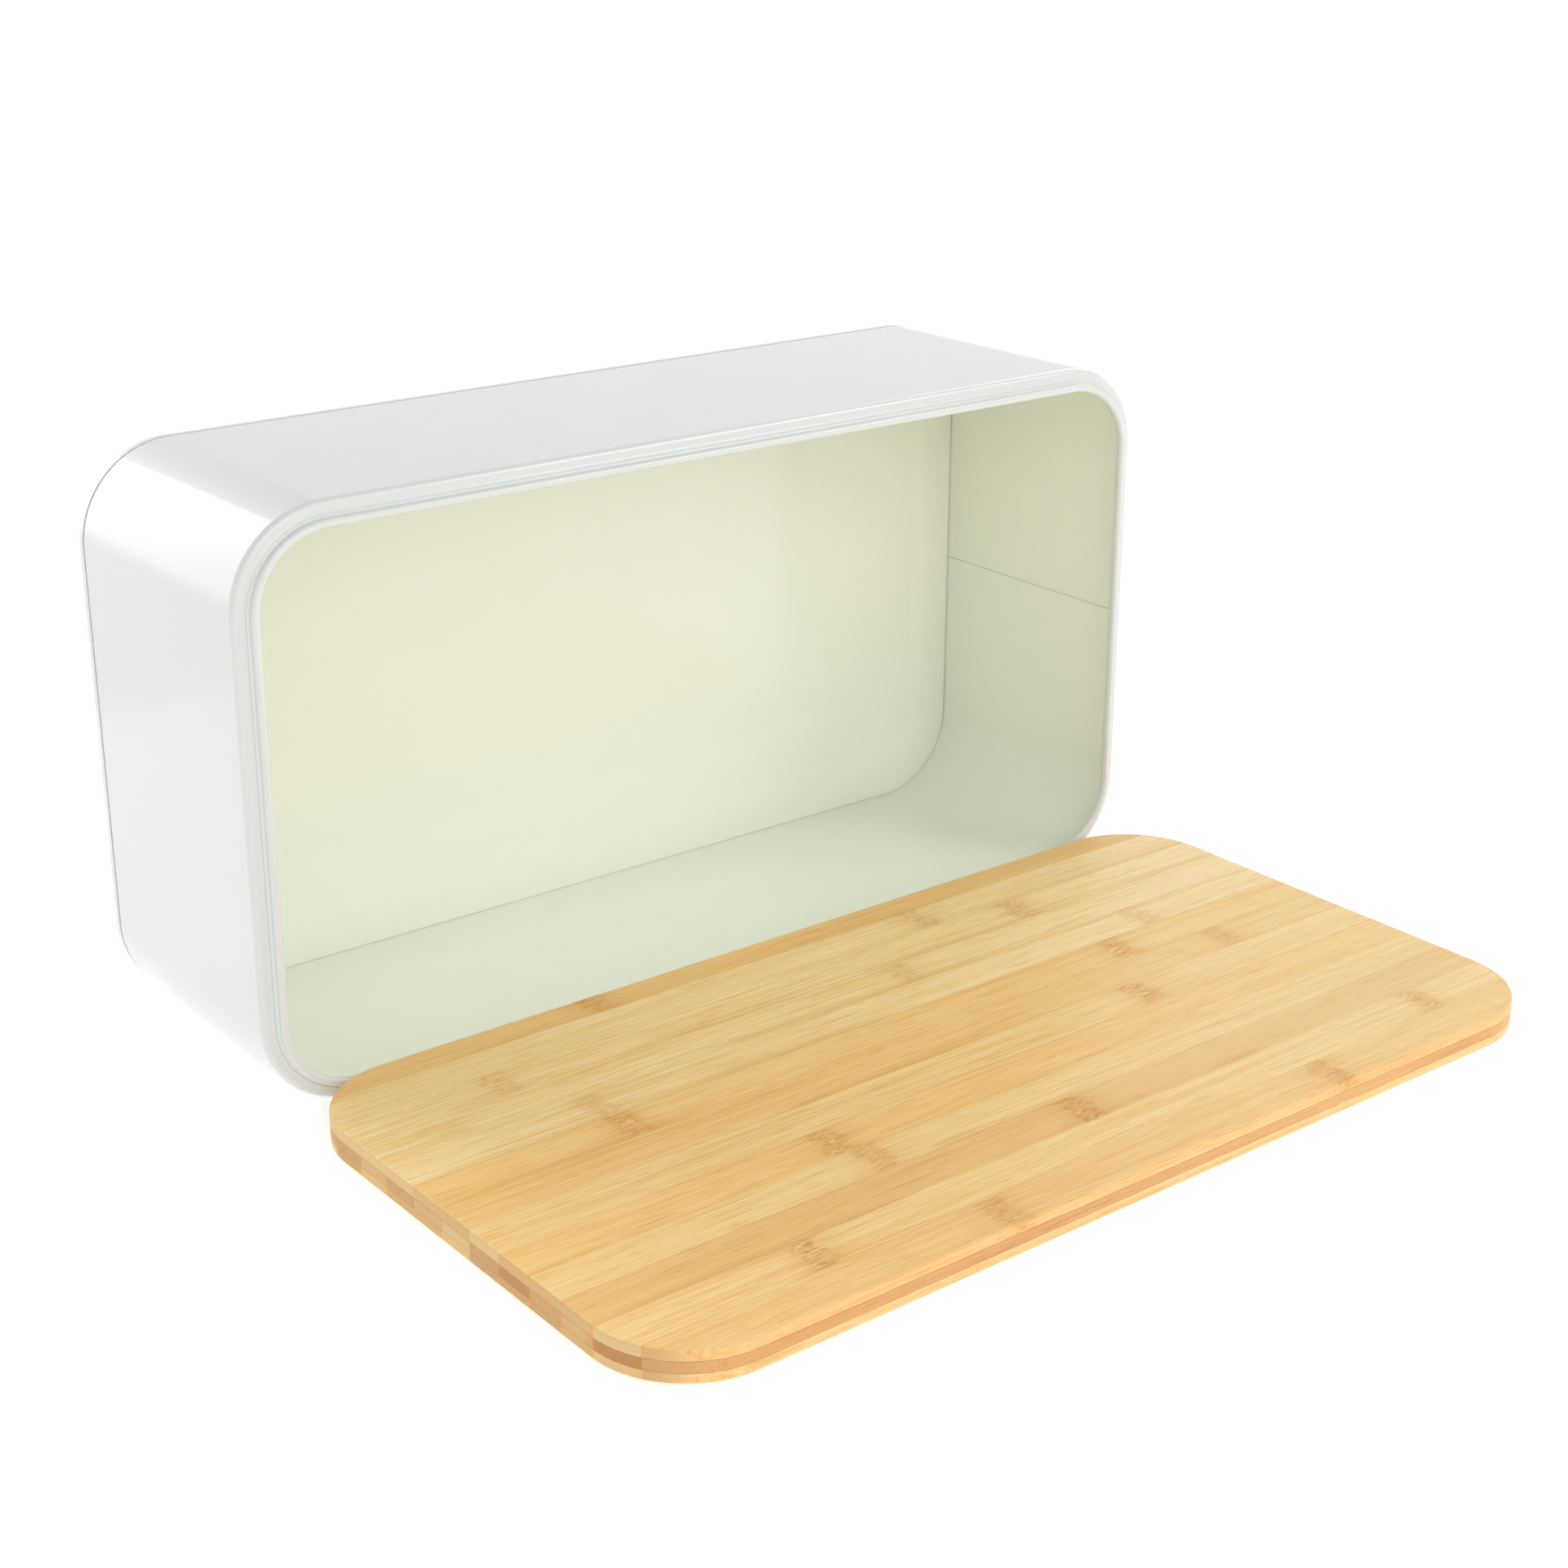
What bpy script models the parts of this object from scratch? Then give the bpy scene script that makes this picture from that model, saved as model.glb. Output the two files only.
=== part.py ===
"""Bread bin with a loose bamboo lid.

The sheet-steel bin lies on one long wall with its mouth towards -Y. The lid is a three-ply
bamboo board that lies flat on the same floor, in front of the mouth. Metres, +Z up, the origin
in the middle of the wall that the bin lies on.
"""
import math

import bmesh
import bpy

# Steel bin: X along its long side, Y from the mouth to the base, Z up from the floor.
BIN_LENGTH = 0.330
BIN_HEIGHT = 0.175
BIN_DEPTH = 0.0975
CORNER_RADIUS = 0.029
SHEET = 0.0006
GAP = 0.0003
MOUTH_Y = -BIN_DEPTH / 2
BASE_Y = BIN_DEPTH / 2
CORNER_STEPS = 14

# Rim at the mouth: a rounded shoulder, a ledge that leans forward, and a bead curled outwards.
SHOULDER_RADIUS = 0.0020
LEDGE_TURN = math.radians(80)
BEAD_RADIUS = 0.0013
BEAD_INSET = 0.0059
BEAD_TURN = math.radians(282)
SHOULDER_STEPS = 5
BEAD_STEPS = 12

# Hem at the back: the base's edge folds over the stepped-in end of the wall.
HEM_WIDTH = 0.0030
BEND_RADIUS = 0.0005
BEND_STEPS = 3
STEP_IN = SHEET + GAP

# Butt seam where the two ends of the wall sheet meet, halfway up the right-hand short wall.
SEAM_WIDTH = 0.0004
SEAM_DEPTH = 0.0002

# Base panel: set in from the back edge, with a shallow pressed step inside its border.
PANEL_RECESS = 0.0065
PRESS_INSET = 0.0120
PRESS_WIDTH = 0.0070
PRESS_DEPTH = 0.0006
PRESS_STEPS = 4

# Bamboo lid: three plies of strips that run along X.
LID_LENGTH = 0.333
LID_WIDTH = 0.1765
LID_CORNER_RADIUS = 0.029
LID_SHIFT_X = 0.007
LID_CLEARANCE = 0.0006
PLY_THICKNESS = {"bottom": 0.00305, "core": 0.00325, "top": 0.00330}
STRIP_COUNT = 13
STRIP_PITCH = 0.0138
EASED_EDGE = 0.0008
EASE_STEPS = 3
END_STEP = math.radians(7.5)
LID_Y = MOUTH_Y - LID_CLEARANCE - LID_WIDTH / 2

# Groove under the lid that sits over the bead of the rim.
GROOVE_INSET = 0.0045
GROOVE_WIDTH = 0.0050
GROOVE_DEPTH = 0.0026
GROOVE_STEPS = 12

# Bends sharper than this shade as an edge.
SHARP_ANGLE = math.radians(35)

# Colours, linear, and how rough each finish is.
PAINT = (0.86, 0.87, 0.80)
BAMBOO = {
    "top": (0.80, 0.57, 0.28),
    "core": (0.62, 0.37, 0.16),
    "bottom": (0.78, 0.54, 0.27),
}
WALL_ROUGHNESS = 0.22
BASE_ROUGHNESS = 0.28
BAMBOO_ROUGHNESS = 0.5


def clear_scene():
    for obj in list(bpy.data.objects):
        bpy.data.objects.remove(obj, do_unlink=True)


def make_material(name, colour, roughness):
    material = bpy.data.materials.new(name)
    material.use_nodes = True
    shader = material.node_tree.nodes["Principled BSDF"]
    shader.inputs["Base Color"].default_value = (*colour, 1.0)
    shader.inputs["Roughness"].default_value = roughness
    shader.inputs["Metallic"].default_value = 0.0
    return material


def loft(name, rings, material, closed):
    """Join rings of equal length with quads. A closed loft meets itself, an open one is capped."""
    mesh = bpy.data.meshes.new(name)
    bm = bmesh.new()
    rows = [[bm.verts.new(point) for point in ring] for ring in rings]
    size = len(rings[0])
    last = len(rows) if closed else len(rows) - 1
    for i in range(last):
        here = rows[i]
        there = rows[(i + 1) % len(rows)]
        for j in range(size):
            k = (j + 1) % size
            bm.faces.new((here[j], here[k], there[k], there[j]))
    if not closed:
        bm.faces.new(rows[0])
        bm.faces.new(list(reversed(rows[-1])))
    bmesh.ops.recalc_face_normals(bm, faces=bm.faces)
    bm.to_mesh(mesh)
    bm.free()
    mesh.materials.append(material)
    mesh.shade_smooth()
    mesh.set_sharp_from_angle(angle=SHARP_ANGLE)
    obj = bpy.data.objects.new(name, mesh)
    bpy.context.scene.collection.objects.link(obj)
    return obj


def arc(centre, radius, start, turn, steps):
    """Points along an arc in an (inset, y) section, both ends included."""
    points = []
    for i in range(steps + 1):
        angle = start + turn * i / steps
        points.append((centre[0] + radius * math.cos(angle), centre[1] + radius * math.sin(angle)))
    return points


def thicken(path, thickness):
    """Closed outline of a sheet of even thickness that follows a path, with mitred bends."""
    sides = ([], [])
    for i, point in enumerate(path):
        before = path[max(i - 1, 0)]
        after = path[min(i + 1, len(path) - 1)]
        into = math.atan2(point[1] - before[1], point[0] - before[0])
        out = math.atan2(after[1] - point[1], after[0] - point[0])
        if i == 0:
            into = out
        if i == len(path) - 1:
            out = into
        bend = math.remainder(out - into, 2 * math.pi)
        normal = into + bend / 2 + math.pi / 2
        reach = thickness / 2 / math.cos(bend / 2)
        for side, sign in zip(sides, (1, -1)):
            side.append((point[0] + sign * reach * math.cos(normal),
                         point[1] + sign * reach * math.sin(normal)))
    return sides[0] + sides[1][::-1]


def bin_columns():
    """Places round the outline: a corner centre, the direction out of it, and if the seam is there."""
    right = BIN_LENGTH / 2 - CORNER_RADIUS
    low = CORNER_RADIUS
    high = BIN_HEIGHT - CORNER_RADIUS
    corners = [(right, low, -90), (right, high, 0), (-right, high, 90), (-right, low, 180)]
    columns = []
    for number, (x, z, start) in enumerate(corners):
        for i in range(CORNER_STEPS + 1):
            angle = math.radians(start + 90 * i / CORNER_STEPS)
            columns.append((x, z, math.cos(angle), math.sin(angle), False))
        if number == 0:
            middle = BIN_HEIGHT / 2
            for shift in (-SEAM_WIDTH / 2, 0, SEAM_WIDTH / 2):
                columns.append((right, middle + shift, 1.0, 0.0, shift == 0))
    return columns


def place(column, inset, y):
    """World point at a distance in from the bin's outer face."""
    x, z, out_x, out_z, _ = column
    reach = CORNER_RADIUS - inset
    return (x + reach * out_x, y, z + reach * out_z)


def wall_path():
    """Middle line of the wall sheet in (inset, y), from its back edge to the end of the curl."""
    half = SHEET / 2
    back = BASE_Y - SHEET - GAP
    step_end = BASE_Y - HEM_WIDTH
    path = [(STEP_IN + half, back), (STEP_IN + half, step_end), (half, step_end - STEP_IN)]
    curl_radius = BEAD_RADIUS - half
    curl_y = MOUTH_Y + BEAD_RADIUS
    lean = math.pi / 2 - LEDGE_TURN
    bend_radius = SHOULDER_RADIUS - half
    # The ledge leaves the shoulder at this lean and runs onto the curl as a tangent.
    join = (BEAD_INSET + curl_radius * math.sin(lean), curl_y + curl_radius * math.cos(lean))
    bend_end_inset = SHOULDER_RADIUS - bend_radius * math.cos(LEDGE_TURN)
    bend_end_y = join[1] + (join[0] - bend_end_inset) * math.tan(lean)
    bend_y = bend_end_y + bend_radius * math.sin(LEDGE_TURN)
    path += arc((SHOULDER_RADIUS, bend_y), bend_radius, math.pi, LEDGE_TURN, SHOULDER_STEPS)
    path += arc((BEAD_INSET, curl_y), curl_radius, math.pi / 2 - lean, -BEAD_TURN, BEAD_STEPS)
    return path


def make_wall_band(material):
    """One sheet bent to a rounded box, with a fine seam halfway up its right-hand short wall."""
    section = thicken(wall_path(), SHEET)
    last = len(section) - 1
    # Points 2 and 3 of the path are the two ends of the wall's straight length.
    straight = (2, 3)
    rings = []
    for column in bin_columns():
        ring = []
        for i, (inset, y) in enumerate(section):
            if column[4] and min(i, last - i) in straight:
                inset += SEAM_DEPTH if inset < SHEET / 2 else -SEAM_DEPTH
            ring.append(place(column, inset, y))
        rings.append(ring)
    return loft("wall_band", rings, material, closed=True)


def smooth_step(start, end, low, high, steps):
    """Points of a soft S-shaped press between two levels."""
    points = []
    for i in range(steps + 1):
        share = i / steps
        blend = (1 - math.cos(math.pi * share)) / 2
        points.append((start + (end - start) * share, low + (high - low) * blend))
    return points


def base_path():
    """Middle line of the base sheet in (inset, y), from the pressed panel out to the hem."""
    half = SHEET / 2
    face = BASE_Y - PANEL_RECESS + half
    skirt = SHEET + GAP + half
    hem_skirt = skirt + STEP_IN
    # The skirt steps in with the wall, held off it by the gap all the way round the bends.
    bend_lag = (SHEET + GAP) * math.tan(math.pi / 8)
    step_end = BASE_Y - HEM_WIDTH - bend_lag
    press_end = PRESS_INSET + PRESS_WIDTH
    path = [(press_end + PRESS_WIDTH, face + PRESS_DEPTH)]
    path += smooth_step(press_end, PRESS_INSET, face + PRESS_DEPTH, face, PRESS_STEPS)
    path += arc((skirt + BEND_RADIUS, face + BEND_RADIUS), BEND_RADIUS,
                1.5 * math.pi, -math.pi / 2, BEND_STEPS)
    path += [(skirt, step_end - STEP_IN), (hem_skirt, step_end)]
    turn_y = BASE_Y - half - BEND_RADIUS
    path += arc((hem_skirt - BEND_RADIUS, turn_y), BEND_RADIUS, 0.0, math.pi / 2, BEND_STEPS)
    path += arc((half + BEND_RADIUS, turn_y), BEND_RADIUS, math.pi / 2, math.pi / 2, BEND_STEPS)
    path.append((half, BASE_Y - HEM_WIDTH + GAP))
    return path


def make_base_pan(material):
    """Pressed base panel, its short skirt and the hem folded over the wall's back edge."""
    columns = [column for column in bin_columns() if not column[4]]
    section = thicken(base_path(), SHEET)
    rings = [[place(column, inset, y) for column in columns] for inset, y in section]
    return loft("base_pan", rings, material, closed=False)


def strip_limits(number):
    """Y limits of a strip from the lid's middle. Strip 1, at the back, is trimmed narrower."""
    front = -LID_WIDTH / 2
    low = front + (STRIP_COUNT - number) * STRIP_PITCH
    high = min(low + STRIP_PITCH, LID_WIDTH / 2)
    return low, high


def corner_angle(y, radius):
    """Angle round the board's corner at which a line across the board meets it."""
    past = max(abs(y) - (LID_WIDTH / 2 - LID_CORNER_RADIUS), 0.0)
    return math.copysign(math.asin(min(past / radius, 1.0)), y)


def end_line(low, high, inset):
    """Points up the right-hand end of a strip, following the board's rounded corners."""
    radius = LID_CORNER_RADIUS - inset
    corner_x = LID_LENGTH / 2 - LID_CORNER_RADIUS
    corner_y = LID_WIDTH / 2 - LID_CORNER_RADIUS
    full_turn = corner_angle(high, LID_CORNER_RADIUS) - corner_angle(low, LID_CORNER_RADIUS)
    steps = math.ceil(full_turn / END_STEP)
    line = []
    if abs(low) <= corner_y:
        line.append((corner_x + radius, low))
    if steps:
        start = corner_angle(low, radius)
        turn = corner_angle(high, radius) - start
        centre_y = math.copysign(corner_y, low + high)
        for i in range(steps + 1):
            angle = start + turn * i / steps
            line.append((corner_x + radius * math.cos(angle), centre_y + radius * math.sin(angle)))
    if abs(high) <= corner_y:
        line.append((corner_x + radius, high))
    return line


def strip_ring(number, inset, z):
    """Outline of a strip at one height, with half of the glue gap taken off its long sides."""
    low, high = strip_limits(number)
    if number < STRIP_COUNT:
        low += GAP / 2
    if number > 1:
        high -= GAP / 2
    right = end_line(low, high, inset)
    left = [(-x, y) for x, y in reversed(right)]
    return [(x, y, z) for x, y in right + left]


def ply_levels(ply):
    """Heights of a ply and how far its outer edge is eased in at each."""
    bottom = 0.0
    for name, thickness in PLY_THICKNESS.items():
        if name == ply:
            break
        bottom += thickness
    top = bottom + PLY_THICKNESS[ply]
    if ply != "bottom":
        bottom += GAP / 2
    if ply != "top":
        top -= GAP / 2
    levels = [(bottom, 0.0), (top, 0.0)]
    ease = []
    for i in range(EASE_STEPS + 1):
        angle = math.pi / 2 * i / EASE_STEPS
        ease.append((EASED_EDGE * (1 - math.sin(angle)), EASED_EDGE * (1 - math.cos(angle))))
    if ply == "top":
        levels = [(bottom, 0.0)] + [(top - drop, inset) for drop, inset in ease]
    if ply == "bottom":
        levels = [(bottom + drop, inset) for drop, inset in reversed(ease)] + [(top, 0.0)]
    return levels


def make_groove_cutter(lid, material):
    """Ring that cuts the groove under the lid."""
    def outline(inset, z):
        radius = LID_CORNER_RADIUS - inset
        corner_x = LID_LENGTH / 2 - LID_CORNER_RADIUS
        corner_y = LID_WIDTH / 2 - LID_CORNER_RADIUS
        points = []
        for x, y, start in ((1, -1, -90), (1, 1, 0), (-1, 1, 90), (-1, -1, 180)):
            for i in range(GROOVE_STEPS + 1):
                angle = math.radians(start + 90 * i / GROOVE_STEPS)
                points.append((x * corner_x + radius * math.cos(angle),
                               y * corner_y + radius * math.sin(angle), z))
        return points

    inner = GROOVE_INSET + GROOVE_WIDTH
    rings = [outline(GROOVE_INSET, -GROOVE_DEPTH), outline(GROOVE_INSET, GROOVE_DEPTH),
             outline(inner, GROOVE_DEPTH), outline(inner, -GROOVE_DEPTH)]
    cutter = loft("groove_cutter", rings, material, closed=True)
    cutter.parent = lid
    cutter.hide_render = True
    cutter.display_type = "WIRE"
    return cutter


def make_lid(materials):
    """Thirty-nine glued strips on one empty, which sits where the lid is picked up."""
    lid = bpy.data.objects.new("lid_frame", None)
    lid.location = (LID_SHIFT_X, LID_Y, 0.0)
    bpy.context.scene.collection.objects.link(lid)
    cutter = make_groove_cutter(lid, materials["bottom"])
    for ply in PLY_THICKNESS:
        for number in range(1, STRIP_COUNT + 1):
            rings = [strip_ring(number, inset, z) for z, inset in ply_levels(ply)]
            strip = loft(f"lid_{ply}_strip_{number:02d}", rings, materials[ply], closed=False)
            strip.parent = lid
            if ply == "bottom":
                cut = strip.modifiers.new("groove", "BOOLEAN")
                cut.operation = "DIFFERENCE"
                cut.solver = "EXACT"
                cut.object = cutter


def main():
    clear_scene()
    wall_paint = make_material("wall_paint", PAINT, WALL_ROUGHNESS)
    base_paint = make_material("base_paint", PAINT, BASE_ROUGHNESS)
    bamboo = {}
    for ply, colour in BAMBOO.items():
        bamboo[ply] = make_material(f"bamboo_{ply}", colour, BAMBOO_ROUGHNESS)
    make_wall_band(wall_paint)
    make_base_pan(base_paint)
    make_lid(bamboo)


main()
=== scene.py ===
"""Looks for the bread bin: enamelled sheet steel and a bamboo board, lit by soft studio light."""
import math
import random

import bmesh
import bpy
from mathutils import Matrix, Vector


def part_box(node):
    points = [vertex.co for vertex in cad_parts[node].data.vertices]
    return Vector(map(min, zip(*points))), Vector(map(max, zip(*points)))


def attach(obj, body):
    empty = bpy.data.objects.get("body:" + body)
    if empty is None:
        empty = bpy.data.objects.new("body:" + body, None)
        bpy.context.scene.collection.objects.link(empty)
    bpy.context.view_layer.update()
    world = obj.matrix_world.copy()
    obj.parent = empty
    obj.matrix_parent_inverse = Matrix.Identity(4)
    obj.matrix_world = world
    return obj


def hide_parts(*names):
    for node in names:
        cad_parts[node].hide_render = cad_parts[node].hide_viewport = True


SHARP_ANGLE = math.radians(35)

# Sheet steel, in metres.
SHEET = 0.0006
GAP = 0.0003
STEP_IN = SHEET + GAP
CORNER_RADIUS = 0.029
CORNER_STEPS = 36

# Rim: shoulder, ledge with its raised line, and closed bead with a filled crease.
SHOULDER_RADIUS = 0.0020
SHOULDER_STEPS = 14
LEDGE_TURN = math.radians(80)
RIB_INSET = 0.0035
RIB_WIDTH = 0.0011
RIB_RISE = 0.00015
RIB_STEPS = 12
BEAD_RADIUS = 0.0013
BEAD_INSET = 0.0059
BEAD_STEPS = 36
BEAD_FILLET = 0.0007
VALLEY_STEPS = 10

# Where the tint changes along the bead, counted in its points: it fades from the creamy inside,
# and painted light lightens the flank that faces the light.
FADE_POINTS = 12
FLANK_POINTS = (10, 24)

# Seam, and the two points of the section that end the wall's straight length.
SEAM_WIDTH = 0.0004
SEAM_DEPTH = 0.00035
STRAIGHT_POINTS = (2, 3)

# Base: a pressed panel, its bend and skirt, and the hem.
PANEL_RECESS = 0.0065
PRESS_INSET = 0.0120
PRESS_WIDTH = 0.0070
PRESS_DEPTH = 0.0006
PRESS_STEPS = 16
BEND_RADIUS = 0.0004
BEND_STEPS = 10
SKIRT_GAP = 0.0001
SNUG_SHARE = 0.9
HEM_WIDTH = 0.0030
HEM_STEPS = 8

# Bamboo board.
STRIP_COUNT = 13
PLIES = ("bottom", "core", "top")
LID_CORNER_RADIUS = 0.029
EASED_EDGE = 0.0008
EASE_STEPS = 8
GLUE_LINE = 0.00004
PLY_LINE = 0.00010
END_STEP = math.radians(3)
NO_NEIGHBOUR = 1.0
GROOVE_INSET = 0.0045
GROOVE_WIDTH = 0.0050
GROOVE_DEPTH = 0.0026
GROOVE_STEPS = 16

# The dice that give each strip its own tone and grain.
DICE_SEED = 41
TONE_SPREAD = 0.02
GRAIN_SEEDS = (3.0, 90.0)

# Floor: a wide disc that glows a little, just below the object.
FLOOR_GLOW = 0.46
FLOOR_RADIUS = 40.0
FLOOR_SIDES = 96
FLOOR_DROP = 0.0003
FLOOR_TINT = (0.80, 0.80, 0.80)

# Surroundings: their colour at the horizon and from this height of the view direction upwards.
HORIZON = (1.14, 1.15, 1.16, 1.0)
OVERHEAD = (0.54, 0.56, 0.58, 1.0)
OVERHEAD_FROM = 0.9

# Softboxes: place, target, width, height, watts and colour.
WHITE = (1.0, 1.0, 1.0)
SOFTBOXES = {
    "front_softbox": ((-0.2, -2.2, 1.2), (0.0, 0.0, 0.05), 1.8, 1.2, 10.5, (1.0, 0.99, 0.97)),
    "rim_softbox": ((1.1, -1.0, 1.35), (0.0, 0.0, 0.08), 0.8, 0.6, 6.5, WHITE),
    "sheen_softbox": ((1.42, 0.50, 1.15), (0.10, -0.13, 0.0), 1.0, 0.7, 4.5, WHITE),
}

# Glowing cards behind the bin. Their glow drops at CARD_DROP to a dim share of itself.
CARD_LEFT = -2.60
CARD_DROP = -0.21
CARD_RIGHT = 0.70
DIM_SHARE = 0.16
CARD_FRONT = 0.30
CARD_BACK = 2.20
CARD_TOP = 2.20
CARD_LIFT = 0.002
CARD_FADE = 1.90
CARD_BASE_GLOW = 1.0
CARD_GLOW = 3.0
CARD_RISE = (0.1, 1.8)

# Camera. Angles are in radians and the lens in millimetres.
CAMERA_PLACE = (-0.44677, -0.63379, 0.34607)
CAMERA_LENS = 58.85
CAMERA_YAW = 0.66904
CAMERA_PITCH = -0.36578
CAMERA_ROLL = 0.00358
SENSOR_WIDTH = 36.0
CLIP = (0.01, 100.0)

# Enamel tints, linear.
OUTSIDE_TINT = (0.625, 0.638, 0.605)
# The inside tint is creamier, and lighter than the outside as painted light that lifts the shade
# inside the bin.
INSIDE_TINT = (0.856, 0.885, 0.777)
# A lighter tint painted on the bead's valley and on its flank that faces the light: painted light.
PAINTED_LIGHT_TINT = (0.715, 0.730, 0.695)
CLOUD_TINT = (0.60, 0.62, 0.54)
WORN_TINT = (0.70, 0.74, 0.76)
PINHOLE_TINT = (0.20, 0.19, 0.16)
PINHOLES_PER_METRE = 28.0
PINHOLE_SHARE = 0.25

# Bamboo tones, linear: the light and the deep colour that the grain runs between.
CREAM = (0.91, 0.655, 0.305)
PALE = (0.90, 0.610, 0.250)
GOLDEN = (0.88, 0.565, 0.200)
CARAMEL = (0.83, 0.510, 0.175)
SHARED = (0.89, 0.595, 0.235)
# Painted sheen: the strips' top turns paler and less saturated towards the board's right end.
RIGHT_END_PAINTED_SHEEN = (0.99, 1.09, 1.32)
# Painted shade: faces that look to the front are darkened.
FRONT_SIDE_PAINTED_SHADE = (0.95, 0.91, 0.97)
CORE_SIDE = (0.68, 0.370, 0.125)
DEEP_SHARE = (0.93, 0.83, 0.63)
BRIGHT_GAIN = (1.03, 1.08, 1.24)
DARK_SHARE = (0.82, 0.66, 0.44)
SCORCH_SHARE = (0.72, 0.47, 0.25)

# Knuckles and smudges, in metres: how far their edge wanders, and half their length to where
# they fade out and to where they are full.
WANDER = {"knuckle": 0.010, "smudge": 0.020}
WANDERS_PER_METRE = 260.0
SMUDGE_REACH = (0.014, 0.002)
SMUDGE_HEIGHT = (0.0045, 0.0010)
SOFT_REACH = (0.0150, 0.001)
SOFT_SHARE = 0.62
BAND_REACH = (0.0056, 0.0024)

# Grain noises: how often each changes per metre along and across the strip, its detail and
# its roughness.
GRAINS = {
    "swerve": (14.0, 60.0, 2.0, 0.5),
    "curl": (300.0, 260.0, 1.0, 0.5),
    "tone_drift": (9.0, 45.0, 2.0, 0.5),
    "broad": (5.0, 190.0, 3.0, 0.5),
    "streaks": (13.0, 760.0, 4.0, 0.72),
    "fine": (32.0, 1500.0, 3.0, 0.65),
    "dashes": (26.0, 1250.0, 2.0, 0.5),
    "pales": (30.0, 1300.0, 2.0, 0.5),
    "flecks": (95.0, 2700.0, 1.0, 0.5),
    "pores": (110.0, 2900.0, 1.0, 0.5),
    "end_dots": (200.0, 1500.0, 1.0, 0.5),
    "strokes": (330.0, 2000.0, 2.0, 0.5),
    "glints": (300.0, 2300.0, 2.0, 0.5),
    "glue_patches": (16.0, 40.0, 2.0, 0.5),
    "shade_patches": (9.0, 3.0, 2.0, 0.5),
}

# How far fibres swerve everywhere and curl at a knuckle, where painted sheen turns the board's top
# paler along its length, and how far the glue line and the shade beside it reach, in metres.
SWERVE = 0.0022
CURL = 0.0009
PAINTED_SHEEN_FROM_TO = (0.0, 0.16)
GLUE_REACH = 0.00045
SHADE_REACH = (0.0042, 0.0002)

# End grain, linear, from the lightest blocks to the darkest.
END_LIGHT = (0.680, 0.470, 0.230)
END_MIDDLE = (0.620, 0.395, 0.180)
END_DARK = (0.550, 0.330, 0.145)
END_BROWN = (0.465, 0.240, 0.095)

# Each top strip from the back: its tone and its marks, as (kind, mm from the left end, strength).
TOP_STRIPS = (
    (CARAMEL, (("knuckle", 99, 0.9),)),
    (CREAM, (("knuckle", 217, 0.55),)),
    (CREAM, (("knuckle", 49, 0.45), ("knuckle", 247, 0.7))),
    (CREAM, (("knuckle", 186, 0.5),)),
    (CREAM, (("knuckle", 63, 0.4), ("knuckle", 275, 0.45))),
    (GOLDEN, (("knuckle", 64, 0.9), ("knuckle", 252, 0.9))),
    (GOLDEN, (("smudge", 111, 0.6), ("knuckle", 284, 0.45))),
    (PALE, (("knuckle", 234, 0.85),)),
    (GOLDEN, (("knuckle", 101, 0.8),)),
    (PALE, (("knuckle", 105, 0.6),)),
    (CARAMEL, (("knuckle", 167, 1.0), ("smudge", 225, 0.6))),
    (PALE, (("knuckle", 61, 0.9), ("knuckle", 296, 0.8))),
    (GOLDEN, (("knuckle", 113, 0.6), ("knuckle", 238, 0.7))),
)
HIDDEN_TONES = {"bottom": PALE, "core": CORE_SIDE}

# The ends of each ply's strips, from the back.
ENDS = {
    "top": (END_MIDDLE, END_LIGHT, END_LIGHT, END_LIGHT, END_LIGHT, END_MIDDLE, END_MIDDLE,
            END_LIGHT, END_MIDDLE, END_MIDDLE, END_MIDDLE, END_LIGHT, END_MIDDLE),
    "core": (END_MIDDLE, END_DARK, END_DARK, END_MIDDLE, END_DARK, END_MIDDLE, END_LIGHT,
             END_DARK, END_BROWN, END_DARK, END_MIDDLE, END_BROWN, END_DARK),
    "bottom": (END_MIDDLE, END_LIGHT, END_DARK, END_LIGHT, END_MIDDLE, END_MIDDLE, END_LIGHT,
               END_DARK, END_DARK, END_DARK, END_MIDDLE, END_LIGHT, END_MIDDLE),
}


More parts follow.
